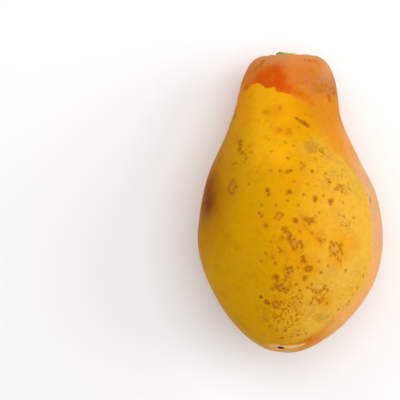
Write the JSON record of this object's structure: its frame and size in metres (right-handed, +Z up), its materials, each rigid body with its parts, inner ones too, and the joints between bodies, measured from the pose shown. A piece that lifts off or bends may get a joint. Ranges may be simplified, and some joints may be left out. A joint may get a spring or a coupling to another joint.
{
  "type": "papaya",
  "caption": "Small ripe whole papaya lying on its side: pear-shaped body with faint lobes, blunt neck with a cut stalk stub, and a small blossom scar.",
  "frame": {"origin": "on the surface that the fruit rests on, under the middle of its outline seen from above", "axes": "+Y from the blossom end to the stem end, the fruit's long way; +Z up; +X to the right, seen from above with the stem end at the top"},
  "size_m": [0.0924, 0.1506, 0.0878],
  "materials": {
    "skin": null
  },
  "bodies": {
    "root": {"papaya_fruit": "skin"}
  },
  "joints": []
}
